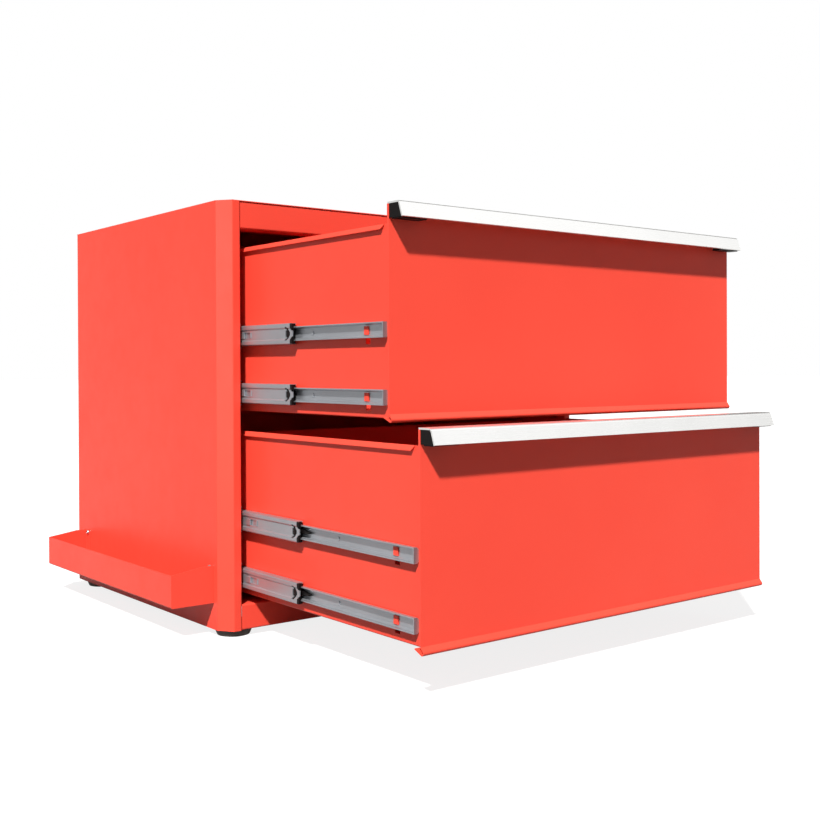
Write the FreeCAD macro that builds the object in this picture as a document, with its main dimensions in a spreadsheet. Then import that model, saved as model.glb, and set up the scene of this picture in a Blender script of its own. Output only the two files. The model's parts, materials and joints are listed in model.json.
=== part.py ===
"""Tool cabinet with two drawers on ball-bearing slides, standing open.

The cabinet frame has x from the left side face, y from the front of the columns towards the
back, and z up from the floor. Every piece is then moved by one datum, which puts the origin on
the floor in the middle of the whole footprint. Lengths are in millimetres.
"""
import FreeCAD, Part
import os
import re
import Sketcher

SIZES = {
    # Cabinet body, folded from painted sheet
    "cabinet_width": 610.0,
    "cabinet_depth": 457.0,
    "body_height": 524.5,
    "body_sheet": 1.0,
    "body_bend": 1.0,
    "column_chamfer_depth": 18.3,
    "column_chamfer_width": 13.2,
    "column_face": 24.1,
    "column_return": 18.0,
    "rear_flange": 16.0,
    "foot_flange": 60.0,
    "foot_flange_setback": 20.0,
    "back_fold": 15.0,
    # Rails between the columns, and the floor that lies behind the bottom rail
    "rail_recess": 1.0,
    "rail_seam": 0.5,
    "top_rail_height": 34.2,
    "top_rail_return": 25.0,
    "top_rail_upstand": 10.0,
    "bottom_rail_height": 31.2,
    "bottom_rail_foot": 18.0,
    "bottom_rail_lift": 0.2,
    "floor_drop": 20.0,
    "fitting_gap": 0.4,
    # Posts that carry the slides
    "post_front": 38.0,
    "post_width": 40.0,
    "post_rear": 45.0,
    "post_sheet": 1.2,
    # Feet and their bolts
    "foot_height": 8.5,
    "foot_inset": 27.0,
    "foot_top_radius": 23.0,
    "foot_base_radius": 20.5,
    "foot_edge": 1.2,
    "foot_seat": 3.5,
    "foot_recess_radius": 8.0,
    "bolt_radius": 3.0,
    "bolt_play": 0.2,
    "bolt_head_radius": 5.8,
    "bolt_head_height": 3.6,
    "nut_height": 5.0,
    "nut_play": 0.05,
    # Tray on the left side
    "tray_front": 26.2,
    "tray_length": 400.4,
    "tray_width": 57.3,
    "tray_lift": 32.8,
    "tray_wall": 39.5,
    "tray_end_height": 45.7,
    "tray_end_level": 15.0,
    "tray_flange": 17.0,
    "tray_sheet": 1.0,
    "tray_screw_low": 9.2,
    "tray_screw_rise": 33.0,
    "tray_screw_radius": 2.0,
    "tray_screw_head": 3.6,
    "tray_screw_crown": 2.2,
    "tray_screw_length": 6.0,
    # Drawers: places, box and front sheet
    "upper_opening": 297.5,
    "lower_opening": 347.0,
    "lower_front_edge": 38.1,
    "drawer_pitch": 226.3,
    "front_height": 223.3,
    "front_gap": 1.5,
    "front_sheet": 1.0,
    "front_return": 3.0,
    "flare_height": 8.6,
    "flare_reach": 4.5,
    "flare_turn": 2.9,
    "curl_front": 2.0,
    "curl_dip": 0.6,
    "curl_back": 10.5,
    "curl_rise": 4.8,
    "curl_bend": 1.5,
    "box_lift": 3.2,
    "box_height": 201.1,
    "box_depth": 425.0,
    "box_sheet": 0.8,
    "box_bend": 0.8,
    "box_back_height": 195.0,
    "lip_reach": 3.6,
    "lip_drop": 5.6,
    "lip_start": 24.0,
    "lip_miter": 3.0,
    "corner_notch": 17.0,
    "corner_notch_height": 3.0,
    # Handle profile with its end caps
    "handle_reach": 22.0,
    "handle_top": 16.4,
    "handle_drop": 16.2,
    "handle_wall": 1.8,
    "handle_bend": 1.8,
    "handle_leg": 12.0,
    "cap_inset": 0.4,
    "cap_plate": 2.0,
    "cap_play": 0.05,
    "cap_tongue": 34.0,
    "tongue_front": 17.5,
    "tongue_back": 4.0,
    "tongue_height": 3.0,
    "tongue_drop": 1.5,
    # Slides: places
    "slide_setback": 25.4,
    "slide_depth": 12.7,
    "slide_front": 20.0,
    "slide_length": 400.0,
    "slide_low": 25.0,
    "slide_pitch": 70.1,
    "slide_bend": 0.4,
    # Outer member, fixed to the posts by hooks
    "outer_height": 32.0,
    "outer_sheet": 1.2,
    "outer_reach": 10.5,
    "outer_lip": 2.6,
    "hook_width": 8.0,
    "hook_height": 6.0,
    "hook_drop": 6.0,
    "hook_play": 0.2,
    # Middle member, which runs at half the drawer's speed
    "middle_height": 24.2,
    "middle_sheet": 1.2,
    "middle_clear": 2.2,
    "middle_step": 1.4,
    "middle_web": 11.8,
    "middle_slope": 1.0,
    "middle_reach": 11.0,
    "middle_length": 360.0,
    "upper_middle_out": 105.5,
    "lower_middle_out": 118.2,
    "tab_base": 11.0,
    "tab_tip": 6.0,
    "tab_reach": 3.8,
    "tab_round": 1.2,
    "window_back": 90.6,
    "window_length": 15.0,
    "window_height": 7.0,
    "window_stop": 1.0,
    "window_block": 8.5,
    "catch_front": 1.4,
    "catch_back": 11.0,
    "catch_height": 15.6,
    "catch_nose": 3.0,
    "catch_mouth": 7.4,
    "catch_notch": 2.2,
    "catch_ear": 2.2,
    "catch_ear_length": 3.8,
    # Bumper on the middle member's front end
    "bumper_length": 4.0,
    "bumper_reach": 7.6,
    "bumper_inset": 0.5,
    "bumper_front": 0.4,
    "bumper_opening": 0.5,
    "bumper_plug": 14.0,
    "bumper_plug_height": 14.8,
    "bumper_play": 0.3,
    # Inner member, fixed to the drawer side
    "inner_height": 16.4,
    "inner_sheet": 1.2,
    "inner_tip": 5.8,
    "inner_front": 18.0,
    "inner_length": 400.0,
    "inner_slope": 2.4,
    "inner_end_bend": 1.6,
    "slot_back": 35.6,
    "slot_length": 8.2,
    "slot_height": 7.8,
    "slot_drop": 1.0,
    "rear_slot_back": 340.0,
    "lug_sheet": 1.0,
    "lug_play": 0.3,
    "lug_hold": 1.5,
    "side_hole_drop": 14.5,
    "dimple_back": 139.5,
    "dimple_radius": 2.2,
    "dimple_height": 0.8,
    # Release lever on the inner member
    "lever_back": 192.7,
    "lever_length": 44.0,
    "lever_taper": 14.0,
    "lever_half": 3.0,
    "lever_heel": 5.0,
    "lever_heel_length": 6.0,
    "lever_depth": 4.1,
    # Ball cages
    "cage_sheet": 0.4,
    "cage_bend": 0.2,
    "cage_clear": 0.3,
    "cage_length": 130.0,
    "outer_cage_home": 140.0,
    "inner_cage_home": 175.0,
    "ball_radius": 1.25,
    "ball_hole_play": 0.1,
    "ball_edge": 10.0,
    "ball_pitch": 22.0,
    "outer_ball_reach": 6.0,
    "inner_ball_reach": 8.0,
    "cage_edge": 2.6,
}
BALLS_IN_A_ROW = 6
SMALLEST_CUT = 1e-6
SAME_LENGTH = 1e-6
SAME_PLACE = 1e-4
# Share of the drawer's travel that each moving stage of a slide makes
OUTER_CAGE_SHARE = 0.25
INNER_CAGE_SHARE = 0.75

doc = FreeCAD.newDocument("ToolCabinet")
sheet = doc.addObject("Spreadsheet::Sheet", "Sizes")
for row, (alias, number) in enumerate(SIZES.items(), start=1):
    sheet.set(f"A{row}", alias)
    sheet.set(f"B{row}", str(number))
    sheet.setAlias(f"B{row}", alias)
doc.recompute()

ALIAS = re.compile(r"\b(" + "|".join(sorted(SIZES, key=len, reverse=True)) + r")\b")
nodes = {}


def bound(text):
    """An expression that reads its names from the sheet."""
    return ALIAS.sub(r"Sizes.\1", str(text))


def value(text):
    """The number that an expression gives now."""
    return float(sheet.evalExpression(bound(text)))


# Heights and places that several pieces share
BODY_BOTTOM = "foot_height"
BODY_TOP = "(foot_height + body_height)"
UNDER_TOP = "(foot_height + body_height - body_sheet)"
FLOOR_TOP = "(foot_height + bottom_rail_height - body_sheet)"
BOX_SIDE = "(slide_setback + slide_depth)"
FRONT_SIDE = "(column_face + front_gap)"
DATUM_X = "((cabinet_width - tray_width) / 2)"
DATUM_Y = "((cabinet_depth - lower_opening - handle_reach) / 2)"


def across(x, side):
    """A place measured from the left side face, or the same from the right one."""
    return x if side == "left" else f"(cabinet_width - ({x}))"


def place(thing, x="0", y="0", z="0"):
    """Puts a piece at a point of the cabinet frame and moves it by the datum."""
    thing.setExpression("Placement.Base.x", bound(f"({x}) - {DATUM_X}"))
    thing.setExpression("Placement.Base.y", bound(f"({y}) - {DATUM_Y}"))
    thing.setExpression("Placement.Base.z", bound(z))


# Sketches, pads and pockets
# A start runs along the plane's own axis: z for XY, y for XZ and x for YZ. Pads and pockets
# always grow from it towards the higher coordinate.
PLANE_SIGN = {"XY": 1, "XZ": -1, "YZ": 1}


def new_body(name):
    body = doc.addObject("PartDesign::Body", name)
    body.Label = name
    place(body)
    return body


def new_sketch(body, plane, loops, start):
    """A sketch of closed loops: lists of corners, or circles given as (x, y, radius)."""
    role = f"{plane}_Plane"
    origin_plane = next(item for item in body.Origin.OriginFeatures if item.Role == role)
    sketch = body.newObject("Sketcher::SketchObject", f"{body.Name}_outline")
    sketch.AttachmentSupport = [(origin_plane, "")]
    sketch.MapMode = "FlatFace"
    sign = "" if PLANE_SIGN[plane] > 0 else "-"
    sketch.setExpression("AttachmentOffset.Base.z", bound(f"{sign}({start})"))
    for loop in loops:
        if isinstance(loop, tuple):
            add_circle(sketch, *loop)
        else:
            add_outline(sketch, loop)
    return sketch


def fix_point(sketch, element, point, x, y):
    for kind, text in (("DistanceX", x), ("DistanceY", y)):
        rule = Sketcher.Constraint(kind, -1, 1, element, point, value(text))
        number = sketch.addConstraint(rule)
        sketch.setExpression(f"Constraints[{number}]", bound(text))


def add_circle(sketch, x, y, radius):
    centre = FreeCAD.Vector(value(x), value(y), 0)
    circle = Part.Circle(centre, FreeCAD.Vector(0, 0, 1), value(radius))
    element = sketch.addGeometry(circle)
    fix_point(sketch, element, 3, x, y)
    number = sketch.addConstraint(Sketcher.Constraint("Radius", element, value(radius)))
    sketch.setExpression(f"Constraints[{number}]", bound(radius))


def add_outline(sketch, corners):
    points = [FreeCAD.Vector(value(x), value(y), 0) for x, y in corners]
    first = sketch.GeometryCount
    count = len(points)
    for index in range(count):
        sketch.addGeometry(Part.LineSegment(points[index], points[(index + 1) % count]))
    for index in range(count):
        follower = first + (index + 1) % count
        sketch.addConstraint(Sketcher.Constraint("Coincident", first + index, 2, follower, 1))
    for index, (x, y) in enumerate(corners):
        fix_point(sketch, first + index, 1, x, y)


def pad(body, plane, loops, start, length):
    feature = body.newObject("PartDesign::Pad", f"{body.Name}_pad")
    feature.Profile = new_sketch(body, plane, loops, start)
    feature.Reversed = PLANE_SIGN[plane] < 0
    feature.setExpression("Length", bound(length))
    update(body, feature)


def pocket(body, plane, loops, start, length):
    """Cuts loops out of a body, and stops the build if nothing was cut."""
    before = body.Shape.Volume
    feature = body.newObject("PartDesign::Pocket", f"{body.Name}_pocket")
    feature.Profile = new_sketch(body, plane, loops, start)
    feature.Reversed = PLANE_SIGN[plane] > 0
    feature.setExpression("Length", bound(length))
    update(body, feature)
    if not body.Shape.Volume < before - SMALLEST_CUT:
        raise RuntimeError(f"{feature.Name} cuts nothing")


def update(body, feature):
    """Works out a new feature, its sketch and its body."""
    sketch = [feature.Profile[0]] if hasattr(feature, "Profile") else []
    doc.recompute(sketch + [feature, body])


def rectangle(x_low, x_high, y_low, y_high):
    return [(x_low, y_low), (x_high, y_low), (x_high, y_high), (x_low, y_high)]


def round_edges(body, plane, corners, radius):
    """Rounds the edges that stand on the given corners of the plane, along its axis."""
    base = body.Tip
    first, second, along = {"XY": (0, 1, 2), "XZ": (0, 2, 1), "YZ": (1, 2, 0)}[plane]
    wanted = [(value(x), value(y)) for x, y in corners]
    names = []
    for number, edge in enumerate(base.Shape.Edges, start=1):
        if len(edge.Vertexes) != 2:
            continue
        low, high = (vertex.Point for vertex in edge.Vertexes)
        step = high - low
        if step.Length < SAME_LENGTH or abs(abs(step[along]) - step.Length) > SAME_LENGTH:
            continue
        if any(max(abs(low[first] - x), abs(low[second] - y)) < SAME_PLACE for x, y in wanted):
            names.append(f"Edge{number}")
    if len(names) < len(wanted):
        raise RuntimeError(f"{body.Name} has no edge on one of its corners")
    feature = body.newObject("PartDesign::Fillet", f"{body.Name}_fillet")
    feature.Base = (base, names)
    feature.setExpression("Radius", bound(radius))
    update(body, feature)


def unit_normal(start, end, side):
    """The unit normal of a fold line, on its left (1) or its right (-1), as expressions."""
    along_x = f"(({end[0]}) - ({start[0]}))"
    along_y = f"(({end[1]}) - ({start[1]}))"
    length = f"sqrt({along_x} * {along_x} + {along_y} * {along_y})"
    return f"({-side} * {along_y} / {length})", f"({side} * {along_x} / {length})"


def other_face(path, gap, side):
    """The line one sheet thickness away from a folded line, mitred at its corners."""
    normals = [unit_normal(path[i], path[i + 1], side) for i in range(len(path) - 1)]
    line = [(f"({path[0][0]}) + {gap} * {normals[0][0]}", f"({path[0][1]}) + {gap} * {normals[0][1]}")]
    for corner, before, after in zip(path[1:-1], normals, normals[1:]):
        share = f"(1 + {before[0]} * {after[0]} + {before[1]} * {after[1]})"
        line.append(
            (
                f"({corner[0]}) + {gap} * ({before[0]} + {after[0]}) / {share}",
                f"({corner[1]}) + {gap} * ({before[1]} + {after[1]}) / {share}",
            )
        )
    last = normals[-1]
    line.append((f"({path[-1][0]}) + {gap} * {last[0]}", f"({path[-1][1]}) + {gap} * {last[1]}"))
    return line


def folded(body, plane, path, gap, start, length, bend, side=1):
    """Pads a folded sheet from the line of one face, and rounds its bends."""
    back = other_face(path, gap, side)
    pad(body, plane, [path + back[::-1]], start, length)
    tight = []
    wide = []
    for index in range(1, len(path) - 1):
        turn = fold_turn(path[index - 1], path[index], path[index + 1]) * side
        if abs(turn) < SAME_LENGTH:
            continue
        tight.append(back[index] if turn > 0 else path[index])
        wide.append(path[index] if turn > 0 else back[index])
    round_edges(body, plane, tight, bend)
    round_edges(body, plane, wide, f"{bend} + {gap}")


def fold_turn(before, corner, after):
    """Above zero where a line turns left at its corner, and below where it turns right."""
    one = (value(corner[0]) - value(before[0]), value(corner[1]) - value(before[1]))
    two = (value(after[0]) - value(corner[0]), value(after[1]) - value(corner[1]))
    return one[0] * two[1] - one[1] * two[0]


def keep(name, thing):
    """Names a finished piece as one of the cabinet's nodes."""
    thing.Label = name
    nodes[name] = thing


def keep_group(name, pieces):
    group = doc.addObject("Part::Compound", name)
    group.Links = pieces
    keep(name, group)


# Cabinet body


def side_panel(side):
    """Side, front column and flanges folded from one sheet."""
    body = new_body(f"{side}_side_panel")
    path = [
        (across("rear_flange", side), "cabinet_depth"),
        (across("0", side), "cabinet_depth"),
        (across("0", side), "column_chamfer_depth"),
        (across("column_chamfer_width", side), "0"),
        (across("column_face", side), "0"),
        (across("column_face", side), "column_return"),
    ]
    turn = 1 if side == "left" else -1
    height = f"{UNDER_TOP} - {BODY_BOTTOM}"
    folded(body, "XY", path, "body_sheet", BODY_BOTTOM, height, "body_bend", turn)
    flange = rectangle(
        across("body_sheet / 2", side),
        across("foot_flange", side),
        "foot_flange_setback",
        "cabinet_depth - body_sheet",
    )
    pad(body, "XY", [flange], BODY_BOTTOM, "body_sheet")
    holes = [(across("foot_inset", side), y, "bolt_radius + bolt_play") for y in FOOT_ROWS.values()]
    pocket(body, "XY", holes, BODY_BOTTOM, "body_sheet")
    if side == "left":
        screws = [(y, z, "tray_screw_radius + bolt_play") for y, z in tray_screw_places()]
        pocket(body, "YZ", screws, "-body_sheet", "2.5 * body_sheet")
    keep(body.Name, body)


def top_panel():
    body = new_body("top_panel")
    corners = [
        ("0", "cabinet_depth"),
        ("0", "column_chamfer_depth"),
        ("column_chamfer_width", "0"),
        ("cabinet_width - column_chamfer_width", "0"),
        ("cabinet_width", "column_chamfer_depth"),
        ("cabinet_width", "cabinet_depth"),
    ]
    pad(body, "XY", [corners], UNDER_TOP, "body_sheet")
    keep(body.Name, body)


def back_panel():
    body = new_body("back_panel")
    face = "cabinet_depth - body_sheet"
    low = f"{BODY_BOTTOM} + body_sheet"
    path = [
        (f"{face} - back_fold", UNDER_TOP),
        (face, UNDER_TOP),
        (face, low),
        (f"{face} - back_fold", low),
    ]
    start = "body_sheet + body_bend + fitting_gap"
    folded(body, "YZ", path, "body_sheet", start, f"cabinet_width - 2 * ({start})", "body_bend", -1)
    keep(body.Name, body)


def floor_panel():
    """Floor sheet, notched round the posts, with a fold down along each side."""
    body = new_body("floor_panel")
    wall = "body_sheet"
    inner = "slide_setback + fitting_gap"
    mouth = "column_face + rail_seam"
    notches = [
        ("post_front - fitting_gap", "post_front + post_width + fitting_gap"),
        (
            "cabinet_depth - post_rear - post_width - fitting_gap",
            "cabinet_depth - post_rear + fitting_gap",
        ),
    ]
    front = "rail_recess + body_sheet + body_bend + fitting_gap"
    back = "cabinet_depth - 2 * body_sheet"
    edge = [(mouth, front), (mouth, "foot_flange_setback"), (wall, "foot_flange_setback")]
    for near, far in notches:
        edge += [(wall, near), (inner, near), (inner, far), (wall, far)]
    edge.append((wall, back))
    corners = [(across(x, "left"), y) for x, y in edge]
    corners += [(across(x, "right"), y) for x, y in reversed(edge)]
    pad(body, "XY", [corners], f"{FLOOR_TOP} - body_sheet", "body_sheet")
    for side in SIDES:
        fold = rectangle(
            across(wall, side),
            across(f"{wall} + body_sheet", side),
            f"{notches[0][1]} + fitting_gap",
            f"{notches[1][0]} - fitting_gap",
        )
        pad(body, "XY", [fold], f"{FLOOR_TOP} - floor_drop", "floor_drop - body_sheet / 2")
    keep(body.Name, body)


def rail(name, path):
    body = new_body(name)
    start = "column_face + rail_seam"
    folded(body, "YZ", path, "body_sheet", start, f"cabinet_width - 2 * ({start})", "body_bend")
    keep(name, body)


def rails():
    face = "rail_recess"
    low = f"{BODY_TOP} - top_rail_height"
    rail(
        "top_rail",
        [
            (f"{face} + top_rail_return", UNDER_TOP),
            (face, UNDER_TOP),
            (face, low),
            (f"{face} + top_rail_return", low),
            (f"{face} + top_rail_return", f"{low} + top_rail_upstand"),
        ],
    )
    high = f"{BODY_BOTTOM} + bottom_rail_height"
    rail(
        "bottom_rail",
        [
            ("post_front - fitting_gap", high),
            (face, high),
            (face, f"{BODY_BOTTOM} + bottom_rail_lift"),
            (f"{face} + bottom_rail_foot", f"{BODY_BOTTOM} + bottom_rail_lift"),
        ],
    )


def slide_post(row, side):
    """Channel from the foot flange to the top, with a slot for each slide's hook."""
    body = new_body(f"{row}_{side}_slide_post")
    near, far = POST_ROWS[row]
    path = [
        (across("body_sheet", side), far),
        (across("slide_setback", side), far),
        (across("slide_setback", side), near),
        (across("body_sheet", side), near),
    ]
    turn = -1 if side == "left" else 1
    start = f"{BODY_BOTTOM} + body_sheet"
    folded(body, "XY", path, "post_sheet", start, f"{UNDER_TOP} - ({start})", "body_bend", turn)
    middle = f"(({near}) + ({far})) / 2"
    slots = [
        rectangle(
            f"{middle} - hook_width / 2 - hook_play",
            f"{middle} + hook_width / 2 + hook_play",
            f"{height} - hook_height / 2 - hook_play",
            f"{height} + hook_height / 2 + hook_drop + hook_play",
        )
        for height in all_slide_heights()
    ]
    web = across("slide_setback - 2 * post_sheet" if side == "left" else "slide_setback + post_sheet", side)
    pocket(body, "YZ", slots, web, "3 * post_sheet")
    keep(body.Name, body)


# Feet and fasteners


def foot(row, side):
    """Round rubber foot with a recess for its bolt's head, turned about its own axis."""
    name = f"{row}_{side}_foot"
    body = doc.addObject("PartDesign::Body", name)
    place(body, across("foot_inset", side), FOOT_ROWS[row])
    corners = [
        ("bolt_radius + bolt_play", "foot_height"),
        ("foot_top_radius", "foot_height"),
        ("foot_top_radius", "foot_height - foot_edge"),
        ("foot_base_radius", "foot_edge"),
        ("foot_base_radius - foot_edge", "0"),
        ("foot_recess_radius", "0"),
        ("foot_recess_radius", "foot_height - foot_seat"),
        ("bolt_radius + bolt_play", "foot_height - foot_seat"),
    ]
    feature = body.newObject("PartDesign::Revolution", f"{name}_turned")
    profile = new_sketch(body, "XZ", [corners], "0")
    feature.Profile = profile
    feature.ReferenceAxis = (profile, ["V_Axis"])
    feature.Angle = 360
    doc.recompute()
    keep(name, body)


def foot_bolts():
    pieces = []
    for row, y in FOOT_ROWS.items():
        for side in SIDES:
            x = across("foot_inset", side)
            seat = "foot_height - foot_seat"
            tag = f"{row}_{side}"
            head = doc.addObject("Part::Prism", f"{tag}_bolt_head")
            head.Polygon = 6
            head.setExpression("Circumradius", bound("bolt_head_radius"))
            head.setExpression("Height", bound("bolt_head_height"))
            place(head, x, y, f"{seat} - bolt_head_height")
            shank = doc.addObject("Part::Cylinder", f"{tag}_bolt_shank")
            shank.setExpression("Radius", bound("bolt_radius"))
            shank.setExpression("Height", bound("foot_seat + body_sheet + nut_height + bolt_radius / 2"))
            place(shank, x, y, seat)
            bolt = doc.addObject("Part::Fuse", f"{tag}_bolt")
            bolt.Base = head
            bolt.Tool = shank
            outside = doc.addObject("Part::Prism", f"{tag}_nut_outside")
            outside.Polygon = 6
            outside.setExpression("Circumradius", bound("bolt_head_radius"))
            outside.setExpression("Height", bound("nut_height"))
            place(outside, x, y, "foot_height + body_sheet")
            thread = doc.addObject("Part::Cylinder", f"{tag}_nut_bore")
            thread.setExpression("Radius", bound("bolt_radius + nut_play"))
            thread.setExpression("Height", bound("nut_height"))
            place(thread, x, y, "foot_height + body_sheet")
            nut = doc.addObject("Part::Cut", f"{tag}_nut")
            nut.Base = outside
            nut.Tool = thread
            pieces += [bolt, nut]
    keep_group("foot_bolts", pieces)


def tray_screw_places():
    """The four screws of the tray, as (y, z)."""
    low = f"{BODY_BOTTOM} + tray_lift + tray_screw_low"
    rows = ("tray_front + tray_flange / 2", "tray_front + tray_length - tray_flange / 2")
    return [(y, z) for y in rows for z in (low, f"{low} + tray_screw_rise")]


def side_tray():
    """Open trough: floor, outer wall, two end walls and two end flanges."""
    body = new_body("side_tray")
    low = f"{BODY_BOTTOM} + tray_lift"
    path = [("0", low), ("-tray_width", low), ("-tray_width", f"{low} + tray_wall")]
    folded(body, "XZ", path, "tray_sheet", "tray_front", "tray_length", "body_bend", -1)
    end_wall = [
        ("0", low),
        ("-tray_width + body_bend + tray_sheet", low),
        ("-tray_width", f"{low} + body_bend + tray_sheet"),
        ("-tray_width", f"{low} + tray_wall"),
        ("-tray_end_level", f"{low} + tray_end_height"),
        ("0", f"{low} + tray_end_height"),
    ]
    ends = {
        "tray_front": "tray_front",
        "tray_front + tray_length - tray_sheet": "tray_front + tray_length - tray_flange",
    }
    for wall_start, flange_start in ends.items():
        pad(body, "XZ", [end_wall], wall_start, "tray_sheet")
        flange = rectangle("-tray_sheet", "0", low, f"{low} + tray_end_height - tray_sheet")
        pad(body, "XZ", [flange], flange_start, "tray_flange")
    holes = [(y, z, "tray_screw_radius + bolt_play") for y, z in tray_screw_places()]
    pocket(body, "YZ", holes, "-1.5 * tray_sheet", "2 * tray_sheet")
    keep(body.Name, body)


def tray_screws():
    pieces = []
    for number, (y, z) in enumerate(tray_screw_places(), start=1):
        screw = new_body(f"tray_screw_{number}")
        pad(screw, "YZ", [(y, z, "tray_screw_radius")], "-tray_sheet", "tray_screw_length + tray_sheet")
        pad(screw, "YZ", [(y, z, "tray_screw_head")], "-tray_sheet - tray_screw_crown", "tray_screw_crown")
        pieces.append(screw)
    keep_group("tray_screws", pieces)


# Slides
# A slide's own depth runs from the back of its outer member towards the drawer.


def slide_x(depth, side):
    return across(f"slide_setback + {depth}", side)


def slide_height(drawer, row):
    step = " + slide_pitch" if row == "top" else ""
    return f"({EDGE[drawer]} + slide_low{step})"


def all_slide_heights():
    return [slide_height(drawer, row) for drawer in DRAWERS for row in ROWS]


def mirrored_path(half, side, height):
    """A channel's line from its upper half: out along the top, then back along the bottom."""
    upper = [(slide_x(depth, side), f"{height} + {rise}") for depth, rise in half]
    lower = [(slide_x(depth, side), f"{height} - {rise}") for depth, rise in reversed(half)]
    return upper + lower


def outer_member(drawer, side, row):
    body = new_body(f"{drawer}_{side}_{row}_outer_slide")
    height = slide_height(drawer, row)
    half = [
        ("outer_reach", "(outer_height / 2 - outer_lip)"),
        ("outer_reach", "outer_height / 2"),
        ("0", "outer_height / 2"),
    ]
    path = mirrored_path(half, side, height)
    turn = 1 if side == "left" else -1
    folded(body, "XZ", path, "outer_sheet", "slide_front", "slide_length", "slide_bend", turn)
    for near, far in POST_ROWS.values():
        middle = f"(({near}) + ({far})) / 2"
        neck = rectangle(
            slide_x("outer_sheet / 2", side),
            slide_x("(-(post_sheet + hook_play))", side),
            f"{height} - hook_height / 2",
            f"{height} + hook_height / 2",
        )
        drop = rectangle(
            slide_x("(-(post_sheet + hook_play))", side),
            slide_x("(-(post_sheet + hook_play + outer_sheet))", side),
            f"{height} - hook_height / 2 - hook_drop",
            f"{height} + hook_height / 2",
        )
        for shape in (neck, drop):
            pad(body, "XZ", [shape], f"{middle} - hook_width / 2", "hook_width")
    keep(body.Name, body)


def middle_member(drawer, side, row):
    """Channel with a web set back between two bands, a front tab, a catch and a window."""
    body = new_body(f"{drawer}_{side}_{row}_middle_slide")
    height = slide_height(drawer, row)
    front = f"(-{drawer}_middle_out)"
    half = [
        ("middle_reach", "middle_height / 2"),
        ("middle_clear", "middle_height / 2"),
        ("middle_clear", "(middle_web / 2 + middle_slope)"),
        ("(middle_clear + middle_step)", "middle_web / 2"),
    ]
    path = mirrored_path(half, side, height)
    turn = 1 if side == "left" else -1
    folded(body, "XZ", path, "middle_sheet", front, "middle_length", "slide_bend", turn)
    low_x = slide_x("middle_clear", "left")
    cut_start = low_x if side == "left" else slide_x("middle_clear + 4 * middle_sheet", "right")
    catch_back = f"{front} + catch_back"
    upper_half = [
        (f"{front} + catch_front", "catch_nose / 2"),
        (f"{catch_back} - catch_ear_length", "catch_height / 2"),
        (catch_back, "catch_height / 2"),
        (catch_back, "(catch_height / 2 - catch_ear)"),
        (f"{catch_back} - catch_notch", "(catch_height / 2 - catch_ear)"),
        (f"{catch_back} - catch_notch", "catch_mouth / 2"),
        (catch_back, "catch_mouth / 2"),
    ]
    catch = [(y, f"{height} + {z}") for y, z in upper_half]
    catch += [(y, f"{height} - {z}") for y, z in upper_half[::-1]]
    cuts = [
        rectangle(
            f"{front} + window_back",
            f"{front} + window_back + window_length",
            f"{height} - window_height / 2",
            f"{height} + window_height / 2",
        ),
        catch,
    ]
    for cut in cuts:
        pocket(body, "YZ", [cut], cut_start, "4 * middle_sheet")
    web = "middle_clear + middle_step"
    window_end = f"{front} + window_back + window_length"
    raised = [
        (f"{front} + window_back - middle_sheet", f"{front} + window_back"),
        (window_end, f"{window_end} + window_block"),
    ]
    raised_start = slide_x(f"{web} - window_stop", "left") if side == "left" else slide_x(web, "right")
    for near, far in raised:
        shape = rectangle(near, far, f"{height} - window_height / 2", f"{height} + window_height / 2")
        pad(body, "YZ", [shape], raised_start, "window_stop")
    tab = [
        (f"{front} + middle_sheet", f"{height} - tab_base / 2"),
        (f"{front} - tab_reach", f"{height} - tab_tip / 2"),
        (f"{front} - tab_reach", f"{height} + tab_tip / 2"),
        (f"{front} + middle_sheet", f"{height} + tab_base / 2"),
    ]
    tab_start = slide_x(web, "left") if side == "left" else slide_x(f"{web} + middle_sheet", "right")
    pad(body, "YZ", [tab], tab_start, "middle_sheet")
    round_edges(body, "YZ", tab[1:3], "tab_round")
    keep(body.Name, body)


def bumper(drawer, side, row):
    """Black frame round a middle member's front tab, with the inner member running through it."""
    body = new_body(f"{drawer}_{side}_{row}_bumper")
    height = slide_height(drawer, row)
    front = f"(-{drawer}_middle_out)"
    outside = "(middle_height / 2 - bumper_inset)"
    opening = "(inner_height / 2 + bumper_opening)"
    inside = "inner_tip - bumper_opening"
    half = [
        ("bumper_reach", opening),
        ("bumper_reach", outside),
        ("middle_clear + bumper_front", outside),
    ]
    back_half = [(inside, opening)]
    frame = mirrored_path(half, side, height) + mirrored_path(back_half, side, height)[::-1]
    pad(body, "XZ", [frame], f"{front} - bumper_length", "bumper_length")
    web_back = "(middle_clear + middle_step + middle_sheet)"
    recess = rectangle(
        slide_x("middle_clear", side),
        slide_x(web_back, side),
        f"{height} - tab_base / 2 - bumper_play",
        f"{height} + tab_base / 2 + bumper_play",
    )
    pocket(body, "XZ", [recess], f"{front} - bumper_length", "bumper_length")
    plug = rectangle(
        slide_x(web_back, side),
        slide_x("inner_tip - bumper_play", side),
        f"{height} - bumper_plug_height / 2",
        f"{height} + bumper_plug_height / 2",
    )
    pad(body, "XZ", [plug], f"{front} - bumper_play", "bumper_plug + bumper_play")
    boss = rectangle(
        f"{front} + catch_front + (catch_mouth - catch_nose) / 2 + bumper_play",
        f"{front} + catch_back - catch_notch - bumper_play",
        f"{height} - catch_mouth / 2 + bumper_play",
        f"{height} + catch_mouth / 2 - bumper_play",
    )
    reach = "middle_sheet - bumper_play"
    boss_start = slide_x(f"{web_back} - ({reach})", "left") if side == "left" else slide_x(web_back, "right")
    pad(body, "YZ", [boss], boss_start, reach)
    return body


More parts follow.
